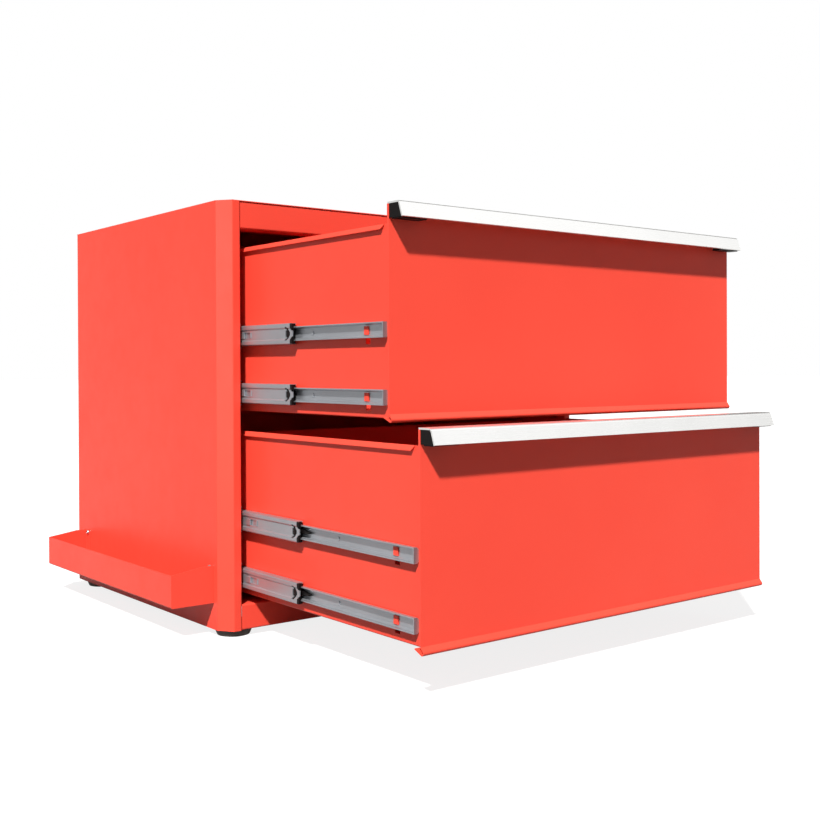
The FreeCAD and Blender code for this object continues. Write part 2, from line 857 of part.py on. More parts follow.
def inner_member(drawer, side, row):
    """Channel with sloped corners that opens outwards; its front end is closed, and lugs hook into it."""
    body = new_body(f"{drawer}_{side}_{row}_inner_slide")
    height = slide_height(drawer, row)
    front = f"(inner_front - {drawer}_opening)"
    half = [
        ("inner_tip", "inner_height / 2"),
        ("(slide_depth - inner_slope)", "inner_height / 2"),
        ("slide_depth", "(inner_height / 2 - inner_slope)"),
    ]
    path = mirrored_path(half, side, height)
    turn = -1 if side == "left" else 1
    folded(body, "XZ", path, "inner_sheet", front, "inner_length", "slide_bend", turn)
    end = other_face(path, "inner_sheet / 2", turn)
    pad(body, "XZ", [end], front, "inner_sheet")
    web = "slide_depth - inner_sheet"
    round_edges(body, "XY", [(slide_x(web, side), f"{front} + inner_sheet")], "inner_end_bend")
    cut_start = slide_x("slide_depth - 2 * inner_sheet", "left")
    if side == "right":
        cut_start = slide_x("slide_depth + inner_sheet", "right")
    slots = [
        rectangle(
            f"{front} + {back} - slot_length / 2",
            f"{front} + {back} + slot_length / 2",
            f"{height} - slot_drop - slot_height / 2",
            f"{height} - slot_drop + slot_height / 2",
        )
        for back in ("slot_back", "rear_slot_back")
    ]
    pocket(body, "YZ", slots, cut_start, "3 * inner_sheet")
    dimple = (f"{front} + dimple_back", height, "dimple_radius")
    dimple_start = slide_x(f"{web} - dimple_height", "left") if side == "left" else slide_x(web, "right")
    pad(body, "YZ", [dimple], dimple_start, "dimple_height")
    keep(body.Name, body)


def release_lever(drawer, side, row):
    """Pointed plastic lever that lies in an inner member and points forwards."""
    body = new_body(f"{drawer}_{side}_{row}_release_lever")
    height = slide_height(drawer, row)
    tip = f"(inner_front - {drawer}_opening + lever_back)"
    corners = [
        (tip, f"{height} + lever_half / 4"),
        (f"{tip} + lever_taper", f"{height} + lever_half"),
        (f"{tip} + lever_length - lever_heel_length", f"{height} + lever_half"),
        (f"{tip} + lever_length - lever_heel_length", f"{height} + lever_heel"),
        (f"{tip} + lever_length", f"{height} + lever_heel"),
        (f"{tip} + lever_length", f"{height} - lever_heel"),
        (f"{tip} + lever_length - lever_heel_length", f"{height} - lever_heel"),
        (f"{tip} + lever_length - lever_heel_length", f"{height} - lever_half"),
        (f"{tip} + lever_taper", f"{height} - lever_half / 2"),
        (tip, f"{height} - lever_half / 4"),
    ]
    web = "slide_depth - inner_sheet"
    start = slide_x(f"{web} - lever_depth", "left") if side == "left" else slide_x(web, "right")
    pad(body, "YZ", [corners], start, "lever_depth")
    return body


def ball_cage(drawer, side, row, stage):
    """Thin channel that spaces the balls of one stage, with its two rows of balls."""
    height = slide_height(drawer, row)
    inset, race, reach, share, home = CAGES[stage]
    front = f"({home} - {share} * {drawer}_opening)"
    body = new_body(f"{drawer}_{side}_{row}_{stage}_cage")
    rise = f"({race} + cage_sheet / 2)"
    half = [(f"{reach} + cage_edge", rise), (inset, rise)]
    path = mirrored_path(half, side, height)
    turn = 1 if side == "left" else -1
    folded(body, "XZ", path, "cage_sheet", front, "cage_length", "cage_bend", turn)
    places = [f"({front} + ball_edge + {number} * ball_pitch)" for number in range(BALLS_IN_A_ROW)]
    holes = [(slide_x(reach, side), y, "ball_radius + ball_hole_play") for y in places]
    pocket(body, "XY", holes, f"{height} - {rise} - cage_sheet", f"2 * ({rise} + cage_sheet)")
    balls = []
    for level in (f"{height} + {race}", f"{height} - {race}"):
        for y in places:
            ball = doc.addObject("Part::Sphere", f"{body.Name}_ball")
            ball.setExpression("Radius", bound("ball_radius"))
            place(ball, slide_x(reach, side), y, level)
            balls.append(ball)
    return [body] + balls


# Drawers


def drawer_box(drawer):
    """Floor and sides folded from one sheet, end walls, sloping lips and lugs for the slides."""
    body = new_body(f"{drawer}_drawer_box")
    front = f"(front_sheet - {drawer}_opening)"
    back = f"(box_depth - {drawer}_opening)"
    low = f"({EDGE[drawer]} + box_lift)"
    high = f"({low} + box_height)"
    path = [
        (across(BOX_SIDE, "left"), high),
        (across(BOX_SIDE, "left"), low),
        (across(BOX_SIDE, "right"), low),
        (across(BOX_SIDE, "right"), high),
    ]
    folded(body, "XZ", path, "box_sheet", front, f"{back} - {front}", "box_bend")
    end_wall = rectangle(
        f"{BOX_SIDE} + box_sheet / 2",
        f"cabinet_width - {BOX_SIDE} - box_sheet / 2",
        f"{low} + box_sheet / 2",
        f"{low} + box_back_height",
    )
    pad(body, "XZ", [end_wall], f"{back} - box_sheet", "box_sheet")
    under = f"{low} - box_sheet"
    floor_end = f"curl_back + fitting_gap - {drawer}_opening"
    relief = rectangle(f"{front} - box_sheet", floor_end, under, f"{low} + corner_notch_height")
    across_box = f"cabinet_width - 2 * {BOX_SIDE} + 2 * box_sheet"
    pocket(body, "YZ", [relief], f"{BOX_SIDE} - box_sheet", across_box)
    notch_end = f"corner_notch - {drawer}_opening"
    notch = rectangle(f"{front} - box_sheet", notch_end, under, f"{low} + corner_notch_height")
    for start in (f"{BOX_SIDE} - box_sheet", f"cabinet_width - {BOX_SIDE} - box_sheet - box_bend"):
        pocket(body, "YZ", [notch], start, "2 * box_sheet + box_bend")
    pad(body, "XZ", [end_wall], front, "box_sheet")
    lip_front = f"(lip_start - {drawer}_opening)"
    for side in SIDES:
        lip = [
            (across(f"{BOX_SIDE} + box_sheet", side), f"{high} - box_sheet"),
            (across(f"{BOX_SIDE} + box_sheet / 2", side), f"{high}"),
            (across(f"{BOX_SIDE} - box_sheet / 2", side), f"{high}"),
            (across(f"{BOX_SIDE} - lip_reach", side), f"{high} - lip_drop + box_sheet"),
            (across(f"{BOX_SIDE} - lip_reach", side), f"{high} - lip_drop"),
            (across(f"{BOX_SIDE} - lip_reach + box_sheet", side), f"{high} - lip_drop + box_sheet / 2"),
            (across(f"{BOX_SIDE} + box_sheet / 2", side), f"{high} - 2 * box_sheet"),
        ]
        pad(body, "XZ", [lip], lip_front, f"{back} - {lip_front}")
    miter = [
        (f"{lip_front} - lip_miter", f"{high} - lip_drop - box_sheet"),
        (f"{lip_front} + lip_miter", f"{high} - lip_drop - box_sheet"),
        (lip_front, f"{high} - box_sheet"),
        (f"{lip_front} - lip_miter", f"{high} - box_sheet"),
    ]
    for start in (f"{BOX_SIDE} - lip_reach - box_sheet", f"cabinet_width - {BOX_SIDE}"):
        pocket(body, "YZ", [miter], start, "lip_reach + box_sheet")
    inner_front = f"(inner_front - {drawer}_opening)"
    for row in ROWS:
        height = slide_height(drawer, row)
        foot_of_lug = f"{height} - slot_drop - slot_height / 2 + lug_play"
        head_of_lug = f"{height} - slot_drop + slot_height / 2 + lug_hold"
        holes = []
        for back_of_front in ("slot_back", "rear_slot_back"):
            middle = f"({inner_front} + {back_of_front})"
            holes.append(
                rectangle(
                    f"{middle} - slot_length / 2",
                    f"{middle} + slot_length / 2",
                    f"{height} - side_hole_drop",
                    foot_of_lug,
                )
            )
            for side in SIDES:
                outer = f"{BOX_SIDE} - inner_sheet - lug_play"
                neck = rectangle(
                    across(f"{BOX_SIDE} + box_sheet / 2", side),
                    across(outer, side),
                    foot_of_lug,
                    f"{foot_of_lug} + lug_sheet",
                )
                rise = rectangle(
                    across(outer, side),
                    across(f"{outer} - lug_sheet", side),
                    foot_of_lug,
                    head_of_lug,
                )
                for shape in (neck, rise):
                    start = f"{middle} - slot_length / 2 + lug_play"
                    pad(body, "XZ", [shape], start, "slot_length - 2 * lug_play")
        for start in (f"{BOX_SIDE} - box_sheet", f"cabinet_width - {BOX_SIDE} - 2 * box_sheet"):
            pocket(body, "YZ", holes, start, "3 * box_sheet")
    keep(body.Name, body)


def drawer_front(drawer):
    """Front sheet: its lower edge flares out and curls back under; its sides have short folds."""
    body = new_body(f"{drawer}_drawer_front")
    face = f"(-{drawer}_opening)"
    edge = EDGE[drawer]
    top = f"({edge} + front_height - handle_wall)"
    path = [
        (face, top),
        (face, f"{edge} + flare_height"),
        (f"{face} - flare_reach", f"{edge} + flare_turn"),
        (f"{face} - curl_front", f"{edge} - curl_dip"),
        (f"{face} + curl_back", f"{edge} + curl_rise"),
    ]
    width = f"cabinet_width - 2 * {FRONT_SIDE}"
    folded(body, "YZ", path, "front_sheet", FRONT_SIDE, width, "curl_bend")
    start = f"{edge} + flare_height + front_sheet"
    for side in SIDES:
        fold = rectangle(
            across(FRONT_SIDE, side),
            across(f"{FRONT_SIDE} + front_sheet", side),
            f"{face} + front_sheet / 2",
            f"{face} + front_return",
        )
        pad(body, "XY", [fold], start, f"{top} - ({start})")
    keep(body.Name, body)


def handle_line(drawer):
    """The outer line of the handle's top and front, from the back of the top forwards."""
    face = f"(-{drawer}_opening)"
    top = f"({EDGE[drawer]} + front_height)"
    return face, top, [(f"{face} - handle_top", top), (f"{face} - handle_reach", f"{top} - handle_drop")]


def drawer_handle(drawer):
    """Profile that hooks over the front sheet's top edge; its legs end at the folds and the caps."""
    body = new_body(f"{drawer}_handle")
    face, top, line = handle_line(drawer)
    outside = f"{FRONT_SIDE} + cap_inset"
    path = [(f"{face} + front_sheet + handle_wall", top)] + line
    folded(body, "YZ", path, "handle_wall", outside, f"cabinet_width - 2 * ({outside})", "handle_bend")
    legs = [
        (f"{face} + front_sheet", f"{FRONT_SIDE} + front_sheet + fitting_gap"),
        (f"{face} - handle_wall", f"{outside} + cap_plate + cap_play"),
    ]
    for near, start in legs:
        leg = rectangle(near, f"{near} + handle_wall", f"{top} - handle_leg", f"{top} - handle_wall / 2")
        pad(body, "YZ", [leg], start, f"cabinet_width - 2 * ({start})")
    keep(body.Name, body)


def handle_cap(drawer, side):
    """Plate that closes the space inside the handle's end, with a tongue under the handle."""
    body = new_body(f"{drawer}_handle_{side}_cap")
    face, top, line = handle_line(drawer)
    inner_line = other_face([(face, top)] + line, "(handle_wall + cap_play)", 1)
    plate = inner_line + [(face, f"{top} - handle_drop")]
    outside = f"{FRONT_SIDE} + cap_inset"
    start = outside if side == "left" else f"cabinet_width - ({outside}) - cap_plate"
    pad(body, "YZ", [plate], start, "cap_plate")
    round_edges(body, "YZ", [inner_line[1]], "handle_bend")
    tongue = rectangle(
        f"{face} - tongue_front",
        f"{face} - tongue_back",
        f"{top} - handle_drop - tongue_drop",
        f"{top} - handle_drop - tongue_drop + tongue_height",
    )
    reach = f"{outside} + cap_plate / 2"
    start = reach if side == "left" else f"cabinet_width - ({reach}) - cap_tongue"
    pad(body, "YZ", [tongue], start, "cap_tongue")
    keep(body.Name, body)


SIDES = ("left", "right")
ROWS = ("bottom", "top")
DRAWERS = ("lower", "upper")
EDGE = {
    "lower": "(foot_height + lower_front_edge)",
    "upper": "(foot_height + lower_front_edge + drawer_pitch)",
}
FOOT_ROWS = {"front": "foot_inset", "rear": "(cabinet_depth - foot_inset)"}
POST_ROWS = {
    "front": ("post_front", "post_front + post_width"),
    "rear": ("cabinet_depth - post_rear - post_width", "cabinet_depth - post_rear"),
}
# For each stage: depth of the cage's web, height of its balls, depth of its balls,
# share of the drawer's travel, and the place of its front end in the closed cabinet
CAGES = {
    "outer": (
        "(outer_sheet + cage_clear)",
        "((outer_height / 2 - outer_sheet + middle_height / 2) / 2)",
        "outer_ball_reach",
        OUTER_CAGE_SHARE,
        "outer_cage_home",
    ),
    "inner": (
        "(middle_clear + middle_step + middle_sheet + cage_clear)",
        "((middle_height / 2 - middle_sheet + inner_height / 2) / 2)",
        "inner_ball_reach",
        INNER_CAGE_SHARE,
        "inner_cage_home",
    ),
}

for side in SIDES:
    side_panel(side)
top_panel()
back_panel()
floor_panel()
rails()
for row in POST_ROWS:
    for side in SIDES:
        slide_post(row, side)
for row in FOOT_ROWS:
    for side in SIDES:
        foot(row, side)
foot_bolts()
side_tray()
tray_screws()

for drawer in DRAWERS:
    bumpers = []
    levers = []
    cages = {stage: [] for stage in CAGES}
    for side in SIDES:
        for row in ROWS:
            outer_member(drawer, side, row)
            middle_member(drawer, side, row)
            inner_member(drawer, side, row)
            bumpers.append(bumper(drawer, side, row))
            levers.append(release_lever(drawer, side, row))
            for stage, pieces in cages.items():
                pieces += ball_cage(drawer, side, row, stage)
    keep_group(f"{drawer}_slide_bumpers", bumpers)
    keep_group(f"{drawer}_release_levers", levers)
    for stage, pieces in cages.items():
        keep_group(f"{drawer}_{stage}_ball_cages", pieces)
    drawer_box(drawer)
    drawer_front(drawer)
    drawer_handle(drawer)
    for side in SIDES:
        handle_cap(drawer, side)

doc.recompute()
for item in doc.Objects:
    faults = [state for state in item.State if state in ("Invalid", "Error")]
    if faults:
        raise RuntimeError(f"{item.Name}: {faults}")
for name, item in nodes.items():
    if item.Shape.isNull() or not item.Shape.isValid() or not item.Shape.Solids:
        raise RuntimeError(f"{name} has no valid shape")

os.makedirs("parts", exist_ok=True)
for name, item in nodes.items():
    item.Shape.exportStep(os.path.join("parts", f"{name}.step"))
    print(f"{name}: {len(item.Shape.Solids)} solids, {item.Shape.Volume / 1000:.2f} cm3")
print(f"{len(nodes)} nodes")
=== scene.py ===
# %% [markdown]
# # A steel tool cabinet with two open drawers
# The cabinet is folded from red painted sheet. Its drawers run on zinc plated ball-bearing
# slides and carry full width aluminium handles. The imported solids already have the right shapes
# and sizes, so this lesson spends its time on finishes, light and small parts.

# %% Load the cabinet
import json
import math

import bmesh
import bpy
from mathutils import Matrix, Vector


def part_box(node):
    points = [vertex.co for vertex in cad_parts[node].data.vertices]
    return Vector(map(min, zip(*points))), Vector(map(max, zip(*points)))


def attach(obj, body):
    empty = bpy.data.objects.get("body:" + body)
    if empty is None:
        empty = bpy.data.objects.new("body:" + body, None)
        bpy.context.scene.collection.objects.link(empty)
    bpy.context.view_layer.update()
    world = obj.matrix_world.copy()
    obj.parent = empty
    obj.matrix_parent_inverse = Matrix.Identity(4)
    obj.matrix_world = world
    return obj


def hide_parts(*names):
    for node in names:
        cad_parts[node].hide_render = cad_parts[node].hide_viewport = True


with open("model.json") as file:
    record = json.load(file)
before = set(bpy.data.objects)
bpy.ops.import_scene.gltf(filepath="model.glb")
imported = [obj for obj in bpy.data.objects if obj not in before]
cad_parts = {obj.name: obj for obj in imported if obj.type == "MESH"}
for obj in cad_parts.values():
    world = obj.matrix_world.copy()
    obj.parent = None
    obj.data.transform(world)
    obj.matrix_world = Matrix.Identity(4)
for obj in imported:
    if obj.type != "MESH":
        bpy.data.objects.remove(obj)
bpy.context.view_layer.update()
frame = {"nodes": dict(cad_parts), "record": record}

# %% [markdown]
# ## The camera
# The picture was taken from the front left, a little above the middle of the cabinet, with the
# camera held almost level. A level camera keeps upright edges upright. Tilting it down would
# make them lean, so the frame is shifted down instead, as an architect's shift lens does.

# %% Set up the camera
IMAGE_SIDE = 820
FOCAL_PIXELS = 1115.1
SENSOR_WIDTH = 36.0
PRINCIPAL_POINT = (415.1, 375.3)
CAMERA_PLACE = (-0.9294, -1.2402, 0.3289)
CAMERA_YAW = 0.6699
CAMERA_TILT = -0.0072
CAMERA_ROLL = -0.0038
CAMERA_REACH = 60.0

camera_data = bpy.data.cameras.new("camera")
camera_data.sensor_width = SENSOR_WIDTH
camera_data.lens = SENSOR_WIDTH * FOCAL_PIXELS / IMAGE_SIDE
camera_data.shift_x = (IMAGE_SIDE / 2 - PRINCIPAL_POINT[0]) / IMAGE_SIDE
camera_data.shift_y = (PRINCIPAL_POINT[1] - IMAGE_SIDE / 2) / IMAGE_SIDE
camera_data.clip_end = CAMERA_REACH
camera = bpy.data.objects.new("camera", camera_data)
camera.location = CAMERA_PLACE
turned = Matrix.Rotation(-CAMERA_YAW, 3, "Z") @ Matrix.Rotation(math.pi / 2 + CAMERA_TILT, 3, "X")
camera.rotation_euler = (turned @ Matrix.Rotation(CAMERA_ROLL, 3, "Z")).to_euler()
bpy.context.scene.collection.objects.link(camera)
bpy.context.scene.camera = camera
print("lens", round(camera_data.lens, 2), "mm")

# %% [markdown]
# ## Light
# One large light stands high at the front left. It is a sun lamp with a small disc, because a
# sun lamp lights the whole floor evenly, where an area lamp would leave its far end grey. The
# room's fill is weak, so the shadows under the handles stay deep. Shiny things mirror a room
# that is grey at eye level and white overhead, as under a studio's ceiling. Its far right corner
# is dark above the backdrop, which draws a thin line along the rounded edges of the white handles.

# %% Light the room
LIGHT_FROM = Vector((-0.51, -0.455, 0.73))
LIGHT_STRENGTH = 7.3
LIGHT_DISC = math.radians(3)
LIGHT_COLOR = (1.0, 0.985, 0.96)
LIGHT_DISTANCE = 4
WHITE = (1, 1, 1, 1)
ROOM_FILL = 0.25
ROOM_EYE_LEVEL = 0.45
ROOM_OVERHEAD = 1.0
OVERHEAD_FROM = 0.5
DARK_CORNER = (0.6, 0.8, 0.0)
DARK_FROM = 0.25
DARK_FULL = 0.65
BACKDROP_END = 0.08
DARK_ABOVE = 0.2
DARK_SHARE = 0.97

light_data = bpy.data.lights.new("key", "SUN")
light_data.energy = LIGHT_STRENGTH
light_data.angle = LIGHT_DISC
light_data.color = LIGHT_COLOR
light = bpy.data.objects.new("key", light_data)
light.location = LIGHT_FROM * LIGHT_DISTANCE
light.rotation_euler = LIGHT_FROM.to_track_quat("Z", "Y").to_euler()
bpy.context.scene.collection.objects.link(light)

world = bpy.data.worlds.new("room")
bpy.context.scene.world = world
world.use_nodes = True
room = world.node_tree
background = room.nodes["Background"]
background.inputs["Color"].default_value = WHITE
ray = room.nodes.new("ShaderNodeLightPath")
heading = room.nodes.new("ShaderNodeTexCoord").outputs["Generated"]
direction = room.nodes.new("ShaderNodeSeparateXYZ")
room.links.new(heading, direction.inputs[0])
walls = room.nodes.new("ShaderNodeMapRange")
walls.inputs["From Max"].default_value = OVERHEAD_FROM
walls.inputs["To Min"].default_value = ROOM_EYE_LEVEL
walls.inputs["To Max"].default_value = ROOM_OVERHEAD
room.links.new(direction.outputs["Z"], walls.inputs["Value"])
towards = room.nodes.new("ShaderNodeVectorMath")
towards.operation = "DOT_PRODUCT"
towards.inputs[1].default_value = DARK_CORNER
room.links.new(heading, towards.inputs[0])
corner = room.nodes.new("ShaderNodeMapRange")
corner.inputs["From Min"].default_value = DARK_FROM
corner.inputs["From Max"].default_value = DARK_FULL
corner.inputs["To Max"].default_value = -DARK_SHARE
room.links.new(towards.outputs["Value"], corner.inputs["Value"])
above = room.nodes.new("ShaderNodeMapRange")
above.inputs["From Min"].default_value = BACKDROP_END
above.inputs["From Max"].default_value = DARK_ABOVE
room.links.new(direction.outputs["Z"], above.inputs["Value"])
left_over = room.nodes.new("ShaderNodeMath")
left_over.operation = "MULTIPLY_ADD"
left_over.inputs[2].default_value = 1.0
room.links.new(corner.outputs["Result"], left_over.inputs[0])
room.links.new(above.outputs["Result"], left_over.inputs[1])
mirrored = room.nodes.new("ShaderNodeMath")
mirrored.operation = "MULTIPLY"
room.links.new(walls.outputs["Result"], mirrored.inputs[0])
room.links.new(left_over.outputs["Value"], mirrored.inputs[1])
shown = room.nodes.new("ShaderNodeMix")
shown.inputs["B"].default_value = 1.0
room.links.new(ray.outputs["Is Camera Ray"], shown.inputs["Factor"])
room.links.new(mirrored.outputs["Value"], shown.inputs["A"])
soft = room.nodes.new("ShaderNodeMix")
soft.inputs["B"].default_value = ROOM_FILL
room.links.new(ray.outputs["Is Diffuse Ray"], soft.inputs["Factor"])
room.links.new(shown.outputs["Result"], soft.inputs["A"])
room.links.new(soft.outputs["Result"], background.inputs["Strength"])

# %% [markdown]
# ## A card for the chamfers
# The chamfered corner of the cabinet mirrors a spot far out to the left. A white card there makes
# the corner a little paler than its two neighbours. It lights nothing by itself.

# %% Stand the card
CARD_PLACE = Vector((-3.4, -0.75, 0.5))
CARD_SIDE = 1.8
CARD_POWER = 42.0
card_data = bpy.data.lights.new("card", "AREA")
card_data.size = CARD_SIDE
card_data.energy = CARD_POWER
card = bpy.data.objects.new("card", card_data)
card.location = CARD_PLACE
card.rotation_euler = CARD_PLACE.to_track_quat("Z", "Y").to_euler()
card.visible_diffuse = False
card.visible_camera = False
bpy.context.scene.collection.objects.link(card)

bpy.context.scene.view_settings.view_transform = "Standard"
bpy.context.scene.view_settings.look = "None"

# %% [markdown]
# ## Helpers for materials
# Every finish starts from the same Principled shader. A value that is the same all over the
# surface is written on the shader's own socket. Only what changes over the surface comes from
# nodes, and all patterns read Object coordinates, because each piece's object stays at the origin.
# A noise's values crowd round the middle, so two spans, a soft and a full one, stretch them.

# %% Helpers for materials
SOFT_SPAN = (0.35, 0.7)
FULL_SPAN = (0.3, 0.7)


def new_material(name, color, roughness, metallic=0.0, **sockets):
    """A Principled material. Extra arguments name its sockets, with _ for a space."""
    material = bpy.data.materials.new(name)
    material.use_nodes = True
    shader = material.node_tree.nodes["Principled BSDF"]
    shader.inputs["Base Color"].default_value = (*color, 1)
    shader.inputs["Roughness"].default_value = roughness
    shader.inputs["Metallic"].default_value = metallic
    for socket, number in sockets.items():
        shader.inputs[socket.replace("_", " ")].default_value = number
    material.diffuse_color = (*color, 1)
    return material


def new_group(name, inputs, outputs):
    """An empty node group. Inputs are (name, kind, default), outputs are (name, kind)."""
    group = bpy.data.node_groups.new(name, "ShaderNodeTree")
    for socket, kind, default in inputs:
        item = group.interface.new_socket(socket, in_out="INPUT", socket_type=f"NodeSocket{kind}")
        item.default_value = default
    for socket, kind in outputs:
        group.interface.new_socket(socket, in_out="OUTPUT", socket_type=f"NodeSocket{kind}")
    return group, group.nodes.new("NodeGroupInput"), group.nodes.new("NodeGroupOutput")


def add_noise(tree, vector, scale, detail):
    """The value of a noise texture; a larger scale makes a finer pattern."""
    noise = tree.nodes.new("ShaderNodeTexNoise")
    noise.inputs["Scale"].default_value = scale
    noise.inputs["Detail"].default_value = detail
    tree.links.new(vector, noise.inputs["Vector"])
    return noise.outputs["Fac"]


def remap(tree, value, low, high, new_low, new_high):
    """Stretches a value's range, with each end a number or a socket."""
    node = tree.nodes.new("ShaderNodeMapRange")
    tree.links.new(value, node.inputs["Value"])
    ends = {"From Min": low, "From Max": high, "To Min": new_low, "To Max": new_high}
    for socket, end in ends.items():
        if isinstance(end, (int, float)):
            node.inputs[socket].default_value = end
        else:
            tree.links.new(end, node.inputs[socket])
    return node.outputs["Result"]


def mix_color(tree, factor, first, second):
    """Mixes two colors by a factor, each of them a socket."""
    node = tree.nodes.new("ShaderNodeMix")
    node.data_type = "RGBA"
    tree.links.new(factor, node.inputs["Factor"])
    tree.links.new(first, node.inputs["A"])
    tree.links.new(second, node.inputs["B"])
    return node.outputs["Result"]


def use_group(material, group, outputs, **values):
    """Places a group in a material, sets its inputs and links its outputs to the shader."""
    tree = material.node_tree
    node = tree.nodes.new("ShaderNodeGroup")
    node.node_tree = group
    for socket, value in values.items():
        node.inputs[socket.replace("_", " ")].default_value = value
    for output, socket in outputs.items():
        tree.links.new(node.outputs[output], tree.nodes["Principled BSDF"].inputs[socket])


# %% [markdown]
# ## Paint
# Baked powder paint isn't flat. It has a faint orange peel, a few millimetres wide, it varies a
# little in gloss, and its tone drifts slowly over a large panel. All three come from noise at
# three scales. They sit in one group, because the outside, the inside and the fronts share them.

# %% Build the paint group
DRIFT_SCALE = 5.0
PATCH_SCALE = 34.0
PEEL_SCALE = 420.0
PEEL_DEPTH = 0.0001
paint_group, given, made = new_group(
    "powder paint",
    [
        ("Color", "Color", (0.8, 0.07, 0.05, 1)),
        ("Worn color", "Color", (0.8, 0.1, 0.08, 1)),
        ("Peel", "Float", 0.2),
        ("Gloss low", "Float", 0.3),
        ("Gloss high", "Float", 0.4),
    ],
    [("Color", "Color"), ("Roughness", "Float"), ("Normal", "Vector")],
)
place = paint_group.nodes.new("ShaderNodeTexCoord").outputs["Object"]
drift = add_noise(paint_group, place, DRIFT_SCALE, detail=3.0)
drift_share = remap(paint_group, drift, *SOFT_SPAN, 0.0, 1.0)
paint_group.links.new(
    mix_color(paint_group, drift_share, given.outputs["Color"], given.outputs["Worn color"]),
    made.inputs["Color"],
)
patches = add_noise(paint_group, place, PATCH_SCALE, detail=4.0)
paint_group.links.new(
    remap(
        paint_group, patches, *FULL_SPAN, given.outputs["Gloss low"], given.outputs["Gloss high"]
    ),
    made.inputs["Roughness"],
)
peel = paint_group.nodes.new("ShaderNodeBump")
peel.inputs["Distance"].default_value = PEEL_DEPTH
paint_group.links.new(given.outputs["Peel"], peel.inputs["Strength"])
ripples = add_noise(paint_group, place, PEEL_SCALE, detail=2.0)
paint_group.links.new(ripples, peel.inputs["Height"])
paint_group.links.new(peel.outputs["Normal"], made.inputs["Normal"])
PAINT_LINKS = {"Color": "Base Color", "Roughness": "Roughness", "Normal": "Normal"}
print("paint group has", len(paint_group.nodes), "nodes")

# %% [markdown]
# ## Two batches of red
# The cabinet and its drawers share one warm red, whose worn tone is only slightly paler. The
# drawers were sprayed on their own, so their gloss differs a little. A low specular level keeps
# the white room from washing out the red.

# %% Mix the paints
RED = (0.695, 0.055, 0.033)
RED_LIGHT = (0.71, 0.060, 0.036)
cabinet_paint = new_material("cabinet paint", RED, 0.36, Specular_IOR_Level=0.2)
use_group(
    cabinet_paint, paint_group, PAINT_LINKS,
    Color=(*RED, 1), Worn_color=(*RED_LIGHT, 1), Peel=0.35, Gloss_low=0.33, Gloss_high=0.42,
)
drawer_paint = new_material("drawer paint", RED, 0.36, Specular_IOR_Level=0.2)
use_group(
    drawer_paint, paint_group, PAINT_LINKS,
    Color=(*RED, 1), Worn_color=(*RED_LIGHT, 1), Peel=0.35, Gloss_low=0.30, Gloss_high=0.40,
)

# %% [markdown]
# ## Metal
# Strip steel and drawn aluminium both carry fine lines along the way they were rolled or
# drawn. Noise that is stretched in one direction gives them. The slides' lines run along the
# drawer's travel, and the handles' along the handle, so the group takes the stretch as an input.

# %% Build the rolled metal group
CLOUD_SCALE = 18.0
SCRATCH_DEPTH = 0.00005
metal_group, given, made = new_group(
    "rolled metal",
    [
        ("Color", "Color", (0.6, 0.6, 0.6, 1)),
        ("Streak color", "Color", (0.5, 0.5, 0.5, 1)),
        ("Stretch", "Vector", (300.0, 6.0, 300.0)),
        ("Roughness low", "Float", 0.25),
        ("Roughness high", "Float", 0.4),
        ("Line depth", "Float", 0.1),
    ],
    [("Color", "Color"), ("Roughness", "Float"), ("Normal", "Vector")],
)
place = metal_group.nodes.new("ShaderNodeTexCoord").outputs["Object"]
stretched = metal_group.nodes.new("ShaderNodeVectorMath")
stretched.operation = "MULTIPLY"
metal_group.links.new(place, stretched.inputs[0])
metal_group.links.new(given.outputs["Stretch"], stretched.inputs[1])
lines = add_noise(metal_group, stretched.outputs["Vector"], scale=1.0, detail=4.0)
clouds = add_noise(metal_group, place, CLOUD_SCALE, detail=3.0)
metal_group.links.new(
    mix_color(
        metal_group,
        remap(metal_group, clouds, *SOFT_SPAN, 0.0, 1.0),
        given.outputs["Color"],
        given.outputs["Streak color"],
    ),
    made.inputs["Color"],
)
metal_group.links.new(
    remap(
        metal_group, lines, *FULL_SPAN,
        given.outputs["Roughness low"], given.outputs["Roughness high"],
    ),
    made.inputs["Roughness"],
)
scratches = metal_group.nodes.new("ShaderNodeBump")
scratches.inputs["Distance"].default_value = SCRATCH_DEPTH
metal_group.links.new(given.outputs["Line depth"], scratches.inputs["Strength"])
metal_group.links.new(lines, scratches.inputs["Height"])
metal_group.links.new(scratches.outputs["Normal"], made.inputs["Normal"])
print("metal group has", len(metal_group.nodes), "nodes")

# %% [markdown]
# ## Zinc and aluminium
# Zinc plating is a bluish grey with half a shine, and the handles are nearly white. Neither is
# set to be fully metallic. A thin skin of oxide scatters part of the light, so the metal keeps a
# tone of its own where it mirrors something dark. Screws are plain metal and brighter.

# %% Mix the metals
ZINC = (0.39, 0.405, 0.435)
ZINC_DARK = (0.35, 0.365, 0.39)
SCREW_ZINC = (0.42, 0.42, 0.43)
ALUMINIUM = (0.93, 0.93, 0.92)
ALUMINIUM_DARK = (0.90, 0.90, 0.89)
slide_zinc = new_material("slide zinc", ZINC, 0.34, 0.75)
use_group(
    slide_zinc, metal_group, PAINT_LINKS,
    Color=(*ZINC, 1), Streak_color=(*ZINC_DARK, 1), Stretch=(900.0, 12.0, 900.0),
    Roughness_low=0.30, Roughness_high=0.38, Line_depth=0.08,
)
screw_zinc = new_material("screw zinc", SCREW_ZINC, 0.3, 1.0)
use_group(
    screw_zinc, metal_group, PAINT_LINKS,
    Color=(*SCREW_ZINC, 1), Streak_color=(*ZINC, 1), Stretch=(500.0, 500.0, 500.0),
    Roughness_low=0.22, Roughness_high=0.36, Line_depth=0.1,
)
handle_aluminium = new_material("handle aluminium", ALUMINIUM, 0.3, 0.88)
